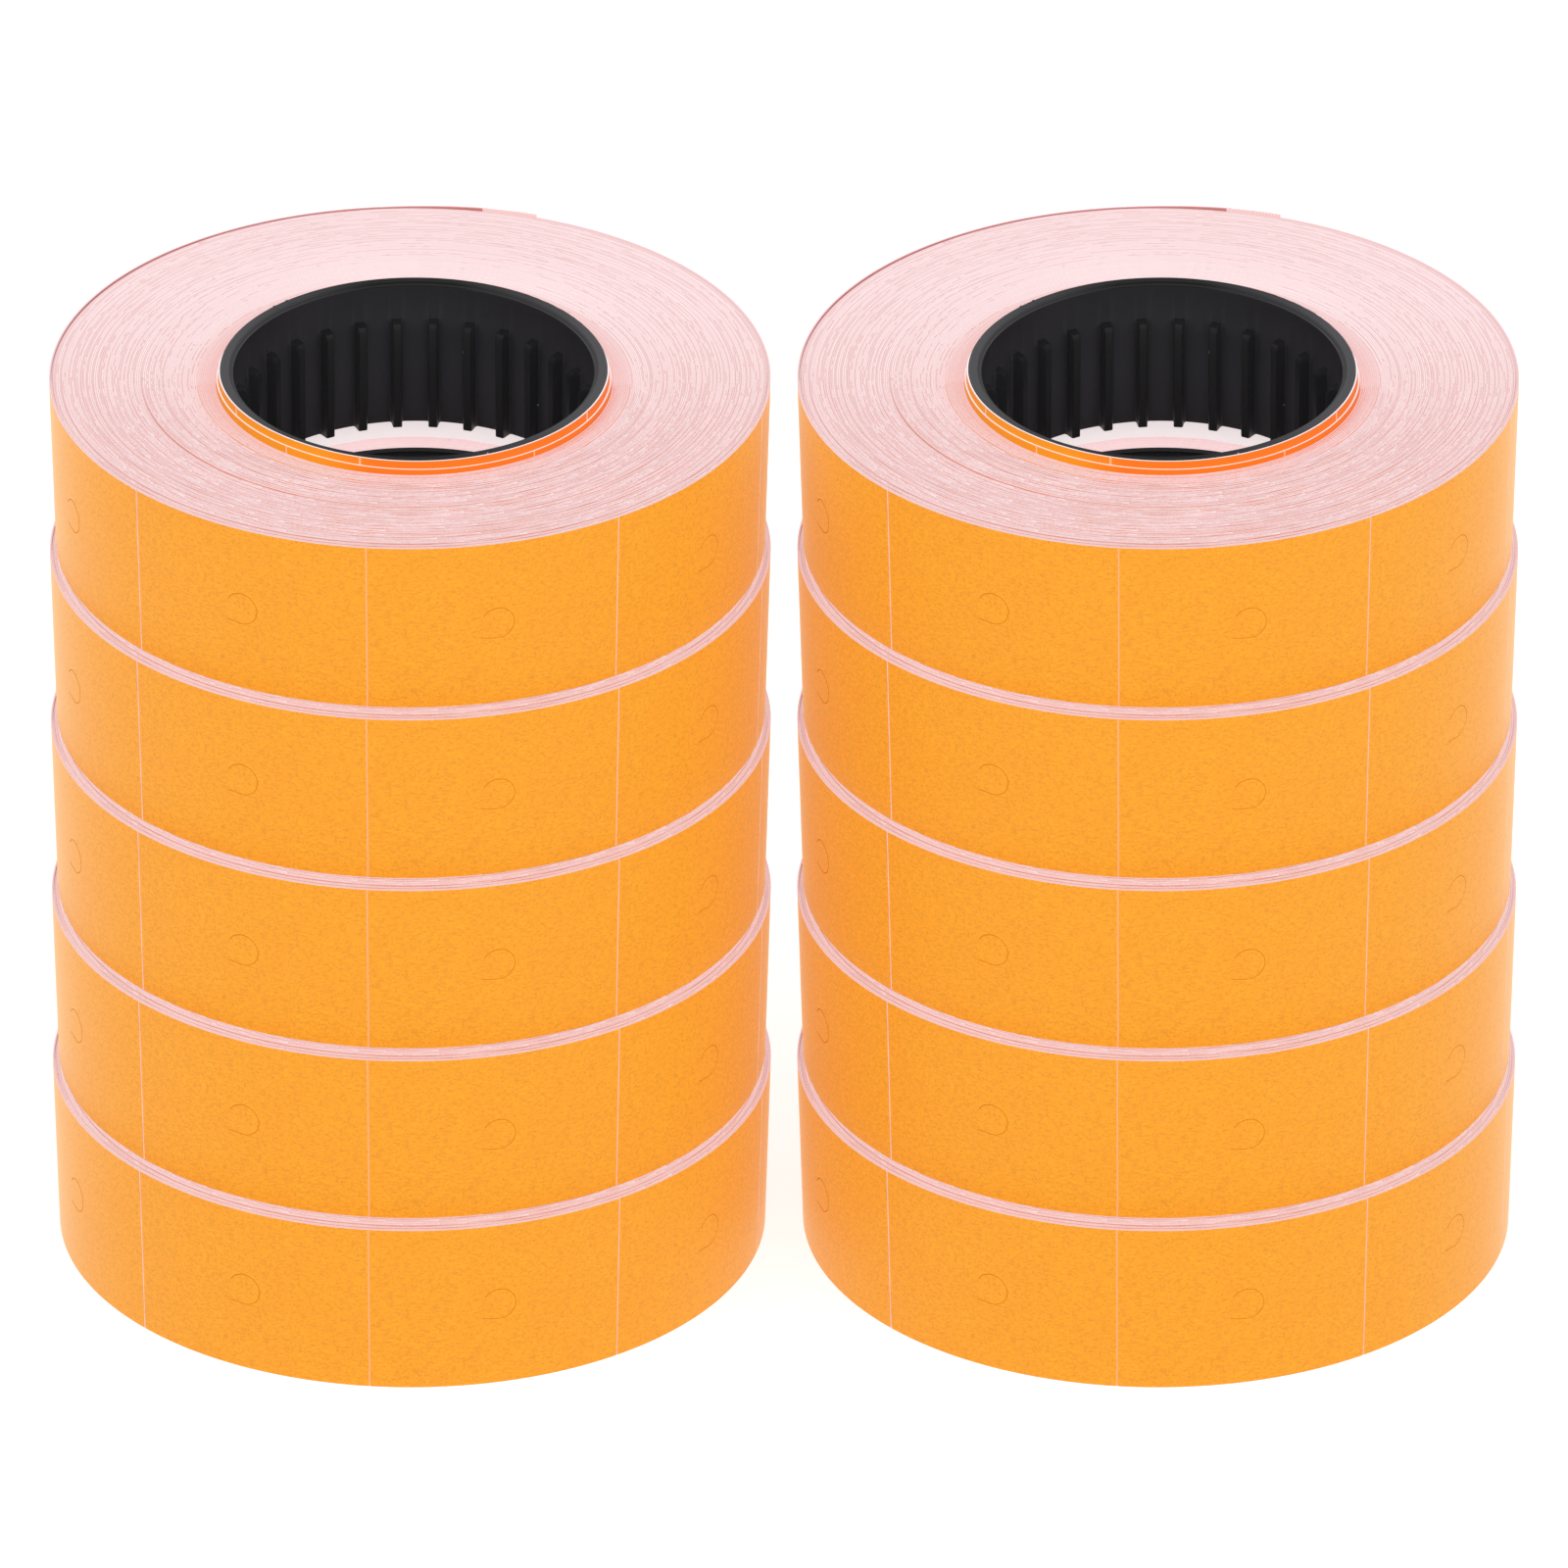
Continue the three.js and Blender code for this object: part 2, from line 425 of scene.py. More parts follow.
def add_bump(material, height, distance, strength=1.0):
    inputs = {"Height": height, "Distance": distance, "Strength": strength}
    bump = add_node(material, "ShaderNodeBump", inputs)
    material.node_tree.links.new(bump.outputs["Normal"], shader_of(material).inputs["Normal"])


def set_base_colour(material, colour):
    material.node_tree.links.new(colour, shader_of(material).inputs["Base Color"])


def object_place(material):
    return add_node(material, "ShaderNodeTexCoord").outputs["Object"]


def label_paper():
    """Fluorescent orange label stock: matte, with soft clouds, short flat fibres, a paper sheen and a
    painted glow that stands in for even light.
    """
    material = new_material(
        "label_orange", roughness=0.6, specular=0.28, painted_glow=ORANGE_PAINTED_LIGHT, painted_glow_strength=0.4)
    shader = shader_of(material)
    shader.inputs["Sheen Weight"].default_value = 0.7
    shader.inputs["Sheen Roughness"].default_value = 0.36
    shader.inputs["Sheen Tint"].default_value = (1.0, 0.82, 0.6, 1)
    place = object_place(material)
    flat_place = scaled(material, place, (1.0, 1.0, 2.6))
    fibres = noise(material, flat_place, 2000.0, 4.0)
    grain = noise(material, place, 4600.0, 3.0)
    clouds = noise(material, place, 260.0, 2.0)
    base = mix_colours(material, spread(material, clouds, 0.3, 0.7), ORANGE, ORANGE_WARM)
    base = mix_colours(material, spread(material, fibres, 0.42, 0.76), base, ORANGE_OLIVE)
    colour = mix_colours(material, spread(material, grain, 0.43, 0.72), base, ORANGE_OLIVE)
    set_base_colour(material, colour)
    add_bump(material, fibres, 0.012 * MM)
    return material


def two_tone_paper(name, light, dark, roughness=0.6, specular=0.3, painted_glow=None, painted_glow_strength=0.0):
    """Plain paper that drifts between two tones."""
    material = new_material(name, roughness, specular, painted_glow, painted_glow_strength)
    place = object_place(material)
    clouds = noise(material, place, 500.0, 3.0)
    set_base_colour(material, mix_colours(material, clouds, light, dark))
    add_bump(material, noise(material, place, 2500.0), 0.006 * MM)
    return material


def label_with_painted_shade():
    """The labels next to the core, painted lighter at the left and darker at the right: painted light and
    shade.
    """
    material = new_material("label_painted_shade", roughness=0.6, specular=0.25)
    place = object_place(material)
    x = add_node(material, "ShaderNodeSeparateXYZ", {0: place}).outputs[0]
    drift_width = 2 * MM
    start, end = -7 * MM, -2 * MM
    drift = maths(material, "MULTIPLY", noise(material, place, 700.0, 3.0), drift_width)
    # Painted shade: darker towards the right
    shade_to_right = spread(material, maths(material, "ADD", x, drift), start, end)
    set_base_colour(material, mix_colours(material, shade_to_right, INNER_LABEL_PAINTED_LIGHT, INNER_LABEL_PAINTED_SHADE))
    add_bump(material, noise(material, place, 2500.0, 3.0), 0.01 * MM)
    return material


def wound_edges():
    """Cut paper edges of the wound turns: a pale and a pink layer to each turn, painted shade as a dark line
    of its own strength in the gap between turns, a blush near the core except at the front, and a few
    specks. The cut is rougher at the front, and the dark lines are only there. The edges have a painted glow
    that stands in for light."""
    material = new_material(
        "wound_edge_pink", roughness=0.85, specular=0.15, painted_glow=EDGE_PAINTED_LIGHT, painted_glow_strength=0.57)
    place = object_place(material)
    split = add_node(material, "ShaderNodeSeparateXYZ", {0: place})
    x, y = split.outputs[0], split.outputs[1]
    squares = [maths(material, "MULTIPLY", side, side) for side in (x, y)]
    radius = maths(material, "SQRT", maths(material, "ADD", *squares))
    angle = maths(material, "ARCTAN2", y, x)
    turns = maths(material, "ADD", maths(material, "DIVIDE", radius, TURN),
                  maths(material, "DIVIDE", angle, 2 * math.pi))
    around = maths(material, "MULTIPLY", angle, 2.5)
    along = add_node(material, "ShaderNodeCombineXYZ", {0: turns, 1: around})
    streaks = noise(material, along.outputs[0], 0.8, 3.0)
    grain = noise(material, place, 4200.0, 2.0)
    front = spread(material, y, ROLL_RADIUS / 2, -ROLL_RADIUS / 3)
    layer = maths(material, "FRACT", turns)
    colour = mix_colours(material, spread(material, layer, 0.35, 0.65), EDGE_PALE, EDGE_PINK)
    # Painted shade: a dark line in the gap between turns, laid on at the front only
    between_turns = spread(material, layer, 0.72, 0.92)
    seam_shade_strength = spread(material, streaks, 0.35, 0.6)
    seam_shade = maths(material, "MULTIPLY", between_turns, seam_shade_strength)
    front_seam_shade = maths(material, "MULTIPLY", seam_shade, front)
    colour = mix_colours(material, front_seam_shade, colour, EDGE_SEAM_SHADE)
    rough = maths(material, "MULTIPLY", spread(material, grain, 0.45, 0.7), front)
    colour = mix_colours(material, rough, colour, EDGE_SALMON)
    near_core = spread(material, radius, CORE_RADIUS + 2.8 * MM, CORE_RADIUS + 0.4 * MM, 0.4)
    behind_front = spread(material, y, -CORE_RADIUS, -CORE_RADIUS / 2)
    blush = maths(material, "MULTIPLY", near_core, behind_front)
    colour = mix_colours(material, blush, colour, EDGE_BLUSH)
    specks = spread(material, noise(material, place, 1300.0, 1.0), 0.76, 0.8, 0.45)
    colour = mix_colours(material, specks, colour, SPECK_GREY)
    set_base_colour(material, colour)
    add_bump(material, streaks, 0.02 * MM)
    return material


def core_plastic(name, dark, light, specular, axis, start, end):
    """Black moulded plastic with a fine mould texture, faint flow marks and a little paper dust. It turns
    from the dark tone to the light one between two distances along an axis of the core: painted light and
    shade."""
    material = new_material(name, roughness=0.42, specular=specular)
    place = object_place(material)
    grain = noise(material, place, 2400.0, 3.0)
    flow = noise(material, place, 160.0, 4.0)
    split = add_node(material, "ShaderNodeSeparateXYZ", {0: place})
    distance = maths(material, "ABSOLUTE", split.outputs[axis])
    drift = maths(material, "MULTIPLY", flow, (end - start) / 4)
    shade = spread(material, maths(material, "ADD", distance, drift), start, end)
    colour = mix_colours(material, shade, dark, light)
    dust_cells = add_node(material, "ShaderNodeTexVoronoi", {"Vector": place, "Scale": 420.0})
    near = maths(material, "LESS_THAN", dust_cells.outputs["Distance"], 0.045)
    chosen = maths(material, "GREATER_THAN", noise(material, place, 300.0, 0.0), 0.6)
    dust = maths(material, "MULTIPLY", near, chosen)
    set_base_colour(material, mix_colours(material, dust, colour, DUST))
    rough = add_node(material, "ShaderNodeMapRange", {"Value": flow, "To Min": 0.38, "To Max": 0.55})
    material.node_tree.links.new(rough.outputs["Result"], shader_of(material).inputs["Roughness"])
    add_bump(material, grain, 0.01 * MM)
    return material


paper_materials = [
    label_paper(),
    wound_edges(),
    # The liner's glow is painted light
    two_tone_paper("liner_white", LINER_LIGHT, LINER_DARK, painted_glow=LINER_PAINTED_LIGHT, painted_glow_strength=0.7),
    two_tone_paper("label_cut", CUT_LIGHT, CUT_DARK, roughness=0.8, specular=0.1),
    # The glow of the liner over orange is painted light
    two_tone_paper("liner_over_orange", TINTED_LIGHT, TINTED_DARK, painted_glow=TINTED_PAINTED_LIGHT, painted_glow_strength=0.4),
    two_tone_paper("liner_against_light", BACKLIT_LIGHT, BACKLIT_DARK),
    # The labels next to the core have painted light and shade
    label_with_painted_shade(),
    # The labels in the wound faces' steps are painted shade
    two_tone_paper("label_step_painted_shade", STEP_SHADE_LIGHT, STEP_SHADE_DARK),
]
# Painted light and shade: lighter lower down the bore and at the rim's left and right sides; the ribs are
# painted darker than the wall
below_rim = CORE_HEIGHT - 2 * MM
near_middle = 0.3 * CORE_RADIUS
core_materials = [
    core_plastic("core_wall_painted_light", WALL_BLACK, WALL_PAINTED_LIGHT_GREY, specular=0.35, axis=2, start=below_rim, end=0.0),
    core_plastic("core_rib_painted_shade", RIB_PAINTED_SHADE_BLACK, RIB_PAINTED_SHADE_GREY, specular=0.12, axis=2, start=below_rim, end=0.0),
    core_plastic("core_rim_painted_light", RIM_BLACK, RIM_PAINTED_LIGHT_GREY, specular=0.08, axis=0, start=near_middle, end=CORE_RADIUS),
]


# The core


def core_columns():
    """The angles round the core, in radians, and each one's share of a rib's depth."""
    across = [(-x, share) for x, share in RIB_PROFILE[:0:-1]] + list(RIB_PROFILE)
    wall_between_ribs = (0.32, 0.5, 0.68)
    spacing = 2 * math.pi / RIB_COUNT
    angles, shares = [], []
    for rib in range(RIB_COUNT):
        for x, share in across:
            angles.append(rib * spacing + x * MM / CORE_BORE)
            shares.append(share)
        for part in wall_between_ribs:
            angles.append((rib + part) * spacing)
            shares.append(0.0)
    return np.array(angles), np.array(shares)


def core_mesh():
    """A tube whose rim steps down into its bore, with ribs down the bore below the rim."""
    angles, shares = core_columns()
    rng = np.random.default_rng(CORE_SEED)
    burr_window = np.exp(-((np.degrees(angles) - BURR_ANGLE) / BURR_SPREAD) ** 2)
    burr = BURR_HEIGHT * burr_window * rng.random(len(angles))
    height = CORE_HEIGHT
    rib_top = height - RIM_HEIGHT
    on_rib = np.minimum(shares, np.roll(shares, -1)) > 0.5
    rib_slots = np.where(on_rib, RIB, WALL)
    wall_slots = np.full(len(angles), WALL)
    rim_slots = np.full(len(angles), RIM)

    def bore(share, inset=0.0):
        return CORE_BORE + inset - RIB_DEPTH * share * shares

    rows_and_slots = [
        (ring(angles, CORE_RADIUS - CORE_EDGE, 0.0), wall_slots),
        (ring(angles, CORE_RADIUS, CORE_EDGE), wall_slots),
        (ring(angles, CORE_RADIUS, height - CORE_EDGE), rim_slots),
        (ring(angles, CORE_RADIUS - CORE_EDGE + burr, height), rim_slots),
        (ring(angles, CORE_BORE + RIM_SLOPE, height), rim_slots),
        (ring(angles, CORE_BORE + 0.75 * RIM_SLOPE, height - 0.75 * RIM_DROP), wall_slots),
        (ring(angles, CORE_BORE + 0.2 * RIM_SLOPE, height - 0.85 * RIM_DROP), rim_slots),
        (ring(angles, bore(0.0), height - 1.2 * RIM_DROP), wall_slots),
        (ring(angles, bore(0.0), rib_top + 0.1 * MM), rib_slots),
        (ring(angles, bore(0.75), rib_top - 0.05 * MM), rib_slots),
        (ring(angles, bore(1.0), rib_top - 0.5 * MM), rib_slots),
        (ring(angles, bore(1.0), 0.5 * rib_top), rib_slots),
        (ring(angles, bore(1.0), CORE_EDGE), rib_slots),
        (ring(angles, bore(1.0, CORE_EDGE / 2), 0.0), wall_slots),
    ]
    surface = Surface()
    rows = [row for row, _ in rows_and_slots]
    slots = np.array([slot for _, slot in rows_and_slots])
    surface.grid(rows, slots, round_rows=True, round_columns=True)
    for angle in FLASH_ANGLES:
        flash_mark(surface, math.radians(angle))
    return surface.mesh("core", core_materials, sharp_angle=32)


def flash_mark(surface, angle):
    """A low rounded bar of moulding flash across the rim."""
    arch = np.linspace(0, math.pi, 7)
    sideways = FLASH_WIDTH / 2 * np.cos(arch)
    lift = CORE_HEIGHT - SMALL_EDGE + FLASH_HEIGHT * np.sin(arch)
    reach = np.linspace(CORE_BORE + RIM_SLOPE, CORE_RADIUS - CORE_EDGE / 2, 4)
    rows = [ring(angle + x / reach, reach, z) for x, z in zip(sideways, lift)]
    surface.tube(rows, RIM)


# The strip's first turns


def inner_turns_mesh(name, rise):
    """The first turns, each with its liner and its labels. The innermost ones rise with the core."""
    surface = Surface()
    tight = CORE_RADIUS + FIRST_TURN_CLEARANCE
    spacing = (PACK_BORE - tight) / INNER_TURNS
    rng = np.random.default_rng(INNER_TURNS_SEED)
    for turn in range(INNER_TURNS):
        if turn < len(FIRST_TURN_TOPS):
            lift = rise * FIRST_TURN_TOPS[turn]
            pulled_up = PULLED_UP_SHARE * rise
            sunk_behind = lift
        else:
            lift = -DISH_DEPTH - INNER_TURNS_SUNK + INNER_TURNS_WANDER * rng.standard_normal()
            pulled_up = 0.0
            sunk_behind = 0.0
        share = LOOSE_SHARES[turn] if turn < len(LOOSE_SHARES) else 1.0
        gap = FIRST_GAP_WIDTH if turn == 0 else LABEL_GAP
        first_gap = FIRST_GAP_ANGLE + GAP_ANGLE_STEP * turn
        liner_edge = PALE if turn < len(FIRST_TURN_TOPS) else EDGE
        inside = tight + turn * spacing
        top = top_edge(STRIP_WIDTH + lift, pulled_up, sunk_behind)
        add_turn(surface, inside, share, rise, top, first_gap, gap, liner_edge)
    return surface.mesh(name, paper_materials, sharp_angle=40)


def top_edge(height, pulled_up, sunk_behind):
    """The height of a turn's top edge round the axis: pulled up at the front left, and lower behind."""

    def height_at(angles):
        facing = np.cos((angles - math.radians(PULLED_UP_ANGLE)) / 2) ** 24
        behind = np.clip(2 * np.sin(angles), 0, 1)
        return height + pulled_up * facing - sunk_behind * behind

    return height_at


def add_turn(surface, inside, slack_share, bottom, top, first_gap, gap_width, liner_edge):
    """One turn of liner with its labels round it, as a closed ring and a set of arcs."""

    def side(angles, outwards):
        return lambda z: inside + outwards + slack_share * slack(angles)

    whole = angle_steps(0, 360)[:-1]
    slots = [TINTED, liner_edge, PALE, PALE]
    band(surface, whole, side(whole, 0.0), side(whole, LINER), bottom, top(whole), slots, closed=True)
    pitch = LABEL_PITCH * ROLL_RADIUS / inside
    gap = math.degrees(gap_width / inside)
    for i in range(math.ceil(360 / pitch)):
        start = first_gap + i * pitch + gap / 2
        end = min(first_gap + (i + 1) * pitch, first_gap + 360) - gap / 2
        angles = angle_steps(start, end)
        inner = side(angles, LINER + SHEET_CLEARANCE)
        outer = side(angles, TURN - SHEET_CLEARANCE)
        band(surface, angles, inner, outer, bottom, top(angles), [PAINTED_SHADE_LABEL, EDGE, EDGE, EDGE])


# The wound pack


def turn_depths(rng, turns, angles):
    """How far each turn's edge is sunk below the wound face, at each angle. A few turns stand out over
    a part of the way round, and all are more even at the back."""
    depths = np.zeros((turns, len(angles)))
    evenness = 0.7 - 0.6 * np.sin(angles)
    for turn in range(turns):
        outward = turn / (turns - 1)
        wander = WANDER + WANDER_NEAR_CORE * math.exp(-outward * 9) + WANDER_NEAR_OUTSIDE * outward ** 6
        depth = wander * rng.standard_normal()
        for waves in (1, 2, 3):
            depth = depth + wander * 0.7 * rng.random() * np.cos(waves * angles + rng.uniform(0, 7))
        if rng.random() < STANDING_TURN_SHARE:
            facing = np.cos((angles - rng.uniform(0, 7)) / 2) ** 8
            depth = depth - rng.uniform(*STANDING_TURN_RISE) * facing
        frayed = rng.standard_normal(len(angles))
        depth = depth + FRAY * (frayed + np.roll(frayed, 1) + np.roll(frayed, 2)) / math.sqrt(3)
        depths[turn] = MEAN_SUNK + evenness * depth
    return np.clip(depths * MM, 0, MOST_SUNK)


def raise_turn(depths, radii, angles):
    """One turn of the top face stands out at the front left, because the turns outside it are sunk."""
    turn = int(np.argmin(np.abs(radii[:, 0] - RAISED_TURN_RADIUS)))
    facing = np.cos((angles - math.radians(RAISED_TURN_ANGLE)) / 2) ** 12
    depths[turn] = depths[turn] * (1 - facing)
    for outside, sunk in enumerate(SUNK_OUTSIDE_RAISED_TURN, 1):
        depths[turn + outside] += sunk * MM * facing


def wound_face_rows(depths, radii, angles, nominal, direction):
    """Rows of points from the outermost turn inwards: two for each turn, one at each side of its edge.
    direction is 1 for the top face and -1 for the underside."""
    rows = []
    for turn in reversed(range(len(depths))):
        height = nominal - direction * depths[turn]
        for radius in (radii[turn + 1] - SMALL_EDGE / 2, radii[turn] + SMALL_EDGE / 2):
            rows.append(ring(angles, radius, height))
    return rows


def wound_face_slots(depths):
    """The material of each face of a wound face: a turn's edge, and between two turns the label or the liner
    of the one that stands out. The label there is a darker copy of the orange: painted shade."""
    slots = []
    for turn in reversed(range(len(depths))):
        slots.append(np.full(depths.shape[1], EDGE))
        if turn:
            # Painted shade on the label faces in the steps
            shown = np.where(depths[turn] > depths[turn - 1], STEP_SHADE_LABEL, PALE)
            slots.append(shown)
    return slots


def pack_radii(steps, angles, lean):
    """The radii between a wound face's steps, from the bore outwards, at each angle. They follow the
    first turns' slack and, near the outside, the last turns' spiral. lean is how far the outermost one
    leans."""
    share = np.linspace(0, 1, steps + 1)[:, None]
    bore = PACK_BORE + slack(angles)
    outside = ROLL_RADIUS - TURN - SHEET_CLEARANCE
    drift = share ** 8 * TURN * (np.degrees(angles) - TIP_ANGLE) / 360
    return bore + (outside - bore) * share - drift + lean * share ** 4


def wound_pack_mesh():
    """All the turns between the first and the last. In the top face, each turn's edge is a step of its
    own, and the last turn stands above it, least at the front."""
    seam_angle = 0.05
    angles = np.radians(np.linspace(TIP_ANGLE, TIP_ANGLE + 360 - seam_angle, PACK_COLUMNS))
    turns = round((ROLL_RADIUS - TURN - PACK_BORE) / TURN)
    top_radii = pack_radii(turns, angles, EDGE_FLARE)
    bottom_radii = pack_radii(UNDERSIDE_STEPS, angles, -UNDERCUT)
    rng = np.random.default_rng(WOUND_PACK_SEED)
    top_depths = turn_depths(rng, turns, angles)
    bottom_depths = turn_depths(rng, UNDERSIDE_STEPS, angles)
    raise_turn(top_depths, top_radii, angles)
    dish = DISH_DEPTH * np.exp(-(top_radii[:-1] - PACK_BORE) / DISH_WIDTH)
    top_depths = np.minimum(top_depths + dish, MOST_SUNK)
    away_from_front = np.clip(1 + 3 * np.sin(angles), 0.2, 1)
    top_depths[-1] = LAST_TURN_STEP * away_from_front
    top = wound_face_rows(top_depths, top_radii, angles, STRIP_WIDTH, 1)
    underside = wound_face_rows(bottom_depths, bottom_radii, angles, 0.0, -1)[::-1]
    bottom_slots = wound_face_slots(bottom_depths)[::-1]
    inner_wall = [np.full(PACK_COLUMNS, PALE)]
    outer_wall = [np.full(PACK_COLUMNS, LABEL)]
    slots = wound_face_slots(top_depths) + inner_wall + bottom_slots + outer_wall
    surface = Surface()
    surface.grid(top + underside, np.array(slots), round_rows=True, round_columns=True)
    return surface.mesh("wound_pack", paper_materials)


# The strip's last turn and free end


def label_arc(surface, start, end, with_cut=True):
    """One label on the last turn, between two angles in degrees, with its security cut."""
    angles = angle_steps(start, end)
    outside = spiral(angles) + tip_lift(angles)

    def inner(z):
        return flared(outside - TURN + LINER + SHEET_CLEARANCE, z)

    def outer(z):
        return flared(outside, z)

    band(surface, angles, inner, outer, 0.0, STRIP_WIDTH, [LABEL, EDGE, EDGE, EDGE])
    if with_cut:
        security_cut(surface, (start + end) / 2)


def security_cut(surface, middle):
    """The fine raised line of a C-shaped cut in a label, as a low three-sided ridge."""
    turn = np.radians(np.linspace(*CUT_ENDS, 40))
    arc = CUT_RADIUS * np.stack([np.cos(turn), np.sin(turn)], -1)
    tail = arc[0] + np.linspace(CUT_TAIL, CUT_TAIL / 10, 10)[:, None] * np.array([-1.0, 0.11])
    path = np.vstack([tail, arc])
    along = np.gradient(path, axis=0)
    across = np.stack([-along[:, 1], along[:, 0]], -1) / np.linalg.norm(along, axis=1)[:, None]
    centre = math.radians(middle)
    rows = []
    for sideways, proud in ((-0.5, -CUT_HEIGHT / 2), (0.5, -CUT_HEIGHT / 2), (0.0, CUT_HEIGHT)):
        points = path + sideways * CUT_WIDTH * across
        height = STRIP_WIDTH / 2 + points[:, 1]
        angles = centre + points[:, 0] / ROLL_RADIUS
        rows.append(ring(angles, flared(spiral(angles), height) + proud, height))
    surface.tube(rows, CUT)


def liner_arc(surface, start, end):
    """A stretch of the last turn's liner. It is thin enough for the orange under it to show through, and it
    has a painted glow. At the back of the roll, where it stands a little proud, its inner side is painted
    with the light that shines through the label outside it."""
    angles = angle_steps(start, end)
    under_last_labels = (angles[:-1] > math.radians(LAST_LABEL_END)) & (angles[:-1] < math.pi)
    inside = spiral(angles) + tip_lift(angles) - TURN

    def inner(z):
        return flared(inside + SHEET_CLEARANCE, z)

    def outer(z):
        return flared(inside + LINER, z)

    # Painted light: under the last labels the inner side shows the light that shines through the label
    # outside it
    inner_side = np.where(under_last_labels, BACKLIT, EDGE)
    band(surface, angles, inner, outer, 0.0, STRIP_WIDTH, [TINTED, EDGE, inner_side, EDGE])


def outer_turns_mesh():
    """The last turn from the hinge line round to the free end's tip: liner and labels."""
    surface = Surface()
    tip_clearance = 0.1
    last_angle = TIP_ANGLE + 360 - tip_clearance
    liner_arc(surface, HINGE_ANGLE, last_angle)
    gap = math.degrees(LABEL_GAP / ROLL_RADIUS)
    start = HINGE_ANGLE
    while start < last_angle - LABEL_PITCH / 2:
        label_arc(surface, start + gap / 2, min(start + LABEL_PITCH - gap / 2, last_angle))
        start += LABEL_PITCH
    return surface.mesh("outer_turns", paper_materials, sharp_angle=40)


def tail_mesh():
    """The free end: bare liner at its tip, then the rest of a label that was cut through."""
    surface = Surface()
    liner_arc(surface, TIP_ANGLE, HINGE_ANGLE)
    gap = math.degrees(LABEL_GAP / ROLL_RADIUS)
    label_arc(surface, LAST_LABEL_END, HINGE_ANGLE - gap / 2, with_cut=False)
    return surface.mesh("tail", paper_materials, sharp_angle=40)


# Putting the rolls in their places


def add_piece(mesh, roll, node, slot, rise=0.0):
    """A piece of a roll that stands for one of its CAD nodes."""
    kind = "moulding" if slot == "core_plastic" else "paper"
    piece = bpy.data.objects.new(f"{roll}_{node}_{kind}", mesh)
    bpy.context.scene.collection.objects.link(piece)
    piece.location = roll_axis(roll) + Vector((0, 0, rise))
    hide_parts(f"{roll}_{node}")
    return piece


def add_tail(mesh, roll):
    """The free end from the hinge line to the tip, placed at its roll with its place baked into its mesh."""
    piece = add_piece(mesh.copy(), roll, "tail", "label_paper")
    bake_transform(piece)


core = core_mesh()
pack = wound_pack_mesh()
last_turn = outer_turns_mesh()
free_end = tail_mesh()
first_turns = {}

for roll in ROLLS:
    turns_rise = round(height_above_roll(roll, "inner_turns"), 6)
    if turns_rise not in first_turns:
        first_turns[turns_rise] = inner_turns_mesh("inner_turns", turns_rise)
    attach(add_piece(core, roll, "core", "core_plastic", height_above_roll(roll, "core")), roll)
    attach(add_piece(first_turns[turns_rise], roll, "inner_turns", "label_paper"), roll)
    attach(add_piece(pack, roll, "wound_pack", "wound_edges"), roll)
    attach(add_piece(last_turn, roll, "outer_turns", "label_paper"), roll)
    add_tail(free_end, roll)


# The stage


def add_floor():
    half = FLOOR_HALF_WIDTHS * (cad_high.x - cad_low.x)
    mesh = bpy.data.meshes.new("floor")
    corners = [(-half, -half, 0), (half, -half, 0), (half, half, 0), (-half, half, 0)]
    mesh.from_pydata(corners, [], [(0, 1, 2, 3)])
    material = new_material("floor_white", roughness=0.9, specular=0.0)
    shader = shader_of(material)
    shader.inputs["Base Color"].default_value = FLOOR_GREY
    shader.inputs["Emission Color"].default_value = WHITE
    shader.inputs["Emission Strength"].default_value = FLOOR_GLOW
    mesh.materials.append(material)
    floor = bpy.data.objects.new("floor", mesh)
    bpy.context.scene.collection.objects.link(floor)
    floor.location.z = -FLOOR_DROP


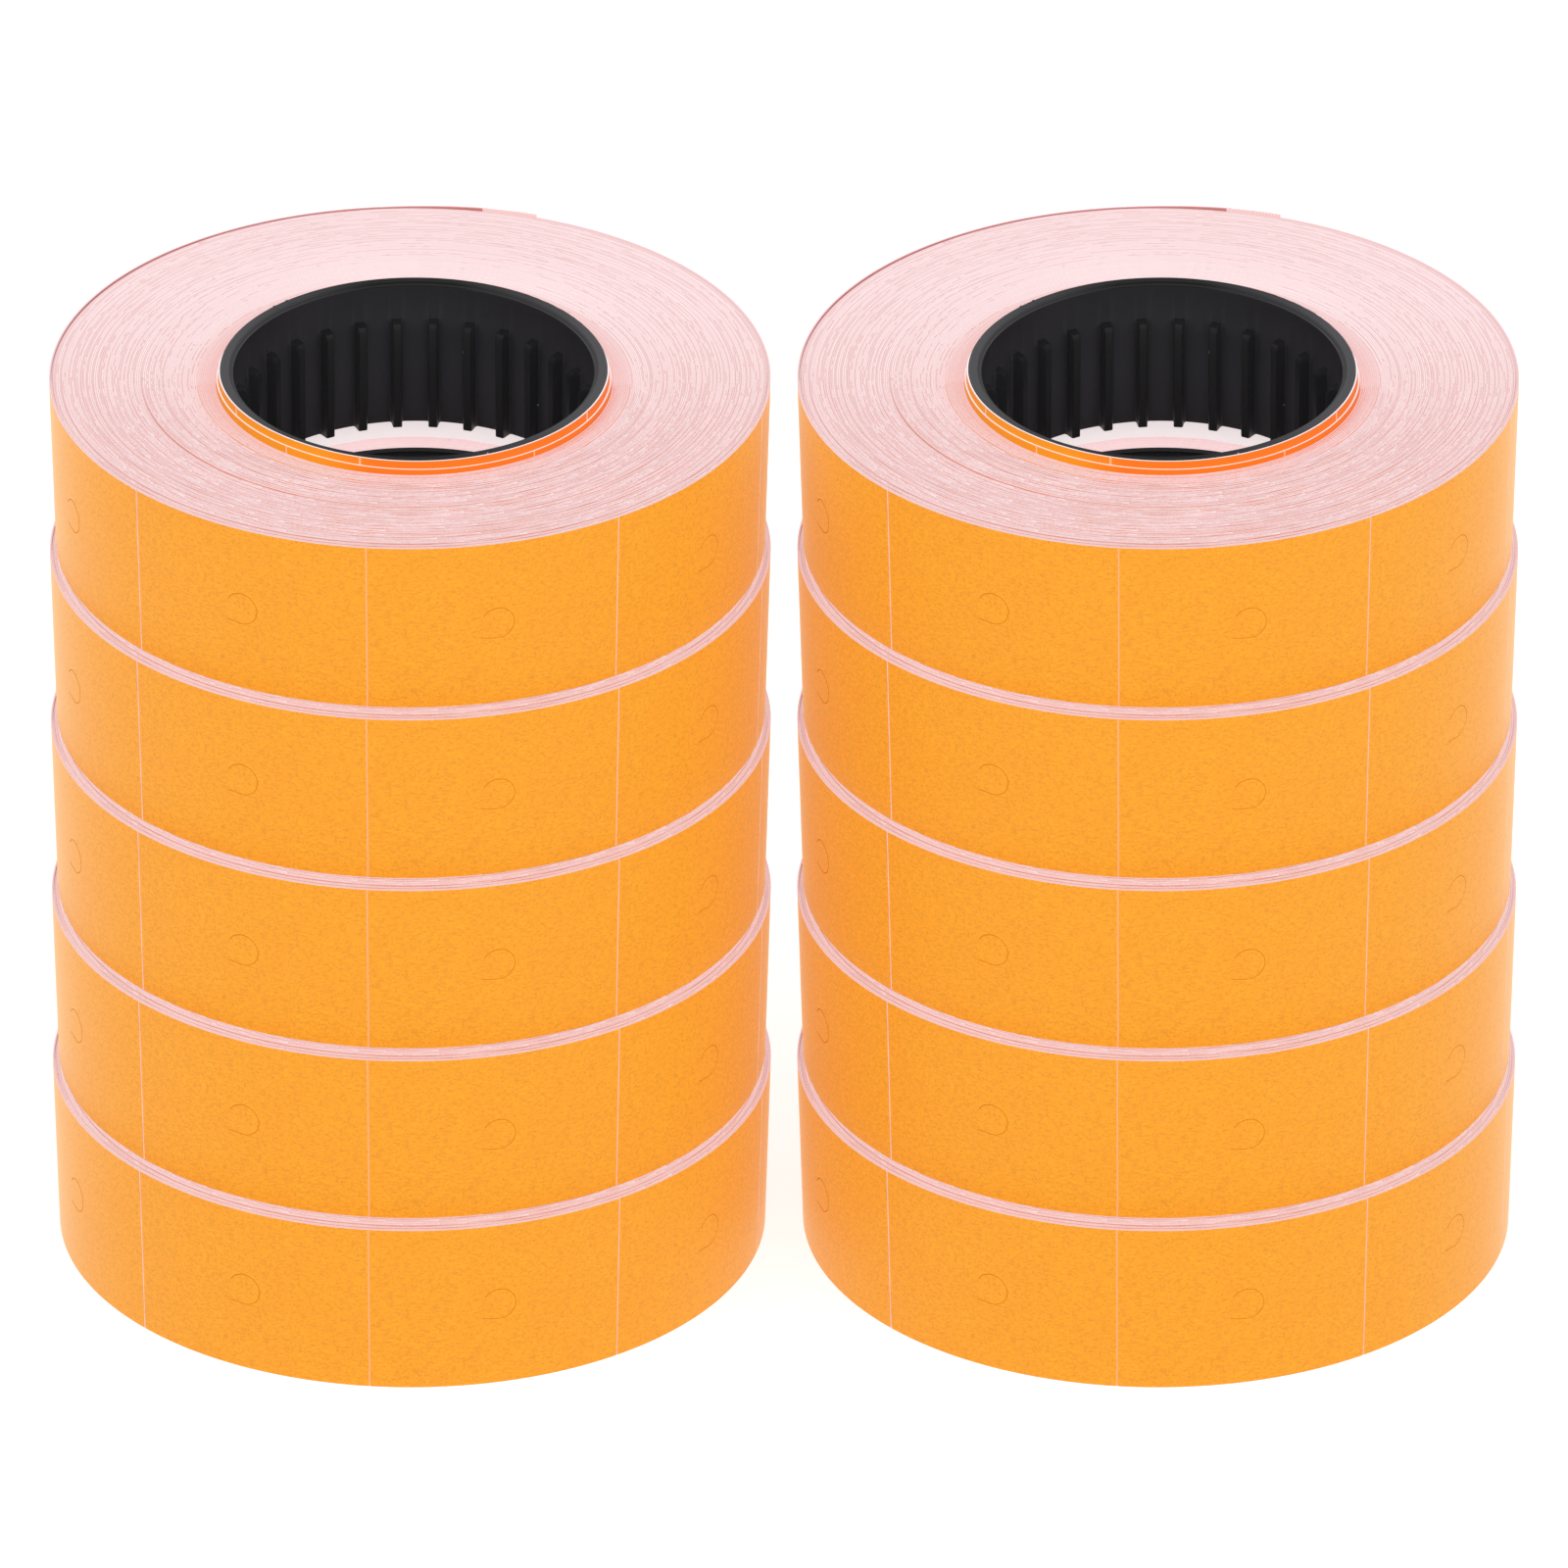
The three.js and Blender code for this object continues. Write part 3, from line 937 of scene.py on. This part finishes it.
def add_light(name, azimuth, elevation, size, energy):
    """A square soft light aimed at the object. Azimuth 0 is in front, and positive is to the right."""
    data = bpy.data.lights.new(name, "AREA")
    data.size = size
    data.energy = energy
    light = bpy.data.objects.new(name, data)
    bpy.context.scene.collection.objects.link(light)
    turn, lift = math.radians(azimuth), math.radians(elevation)
    away = Vector((math.sin(turn) * math.cos(lift), -math.cos(turn) * math.cos(lift), math.sin(lift)))
    aim = (cad_low + cad_high) / 2
    light.location = aim + away * LIGHT_DISTANCE
    light.rotation_mode = "QUATERNION"
    light.rotation_quaternion = (-away).to_track_quat("-Z", "Y")


def set_world():
    world = bpy.data.worlds.new("studio")
    bpy.context.scene.world = world
    world.use_nodes = True
    background = world.node_tree.nodes["Background"]
    background.inputs["Color"].default_value = WHITE
    background.inputs["Strength"].default_value = WORLD_STRENGTH


def add_camera():
    """A long lens in front of the stacks, above them, so that all the rolls show the same ellipse."""
    data = bpy.data.cameras.new("camera")
    data.lens = CAMERA_LENS
    data.sensor_width = CAMERA_SENSOR
    camera = bpy.data.objects.new("camera", data)
    bpy.context.scene.collection.objects.link(camera)
    sine, cosine = math.sin(CAMERA_ELEVATION), math.cos(CAMERA_ELEVATION)
    wound_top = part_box(f"{ROLLS[-1]}_wound_pack")[1].z
    highest = cad_high.y * sine + wound_top * cosine
    lowest = cad_low.y * sine + cad_low.z * cosine
    frame_width = (cad_high.x - cad_low.x) / OBJECT_SHARE_OF_FRAME
    aim_height = ((highest + lowest) / 2 + PICTURE_DROP * frame_width) / cosine
    aim = Vector(((cad_low.x + cad_high.x) / 2, 0, aim_height))
    distance = frame_width * CAMERA_LENS / CAMERA_SENSOR
    back = Vector((0, -cosine, sine))
    camera.location = aim + back * distance
    camera.rotation_mode = "QUATERNION"
    camera.rotation_quaternion = (-back).to_track_quat("-Z", "Y")
    data.clip_end = 10 * distance
    bpy.context.scene.camera = camera


add_floor()
add_light("front", azimuth=0, elevation=29, size=1.3, energy=5.0)
add_light("key_left", azimuth=-65, elevation=35, size=0.9, energy=3.4)
add_light("fill_right", azimuth=50, elevation=22, size=0.9, energy=4.0)
set_world()
add_camera()
bpy.context.scene.view_settings.view_transform = "Standard"
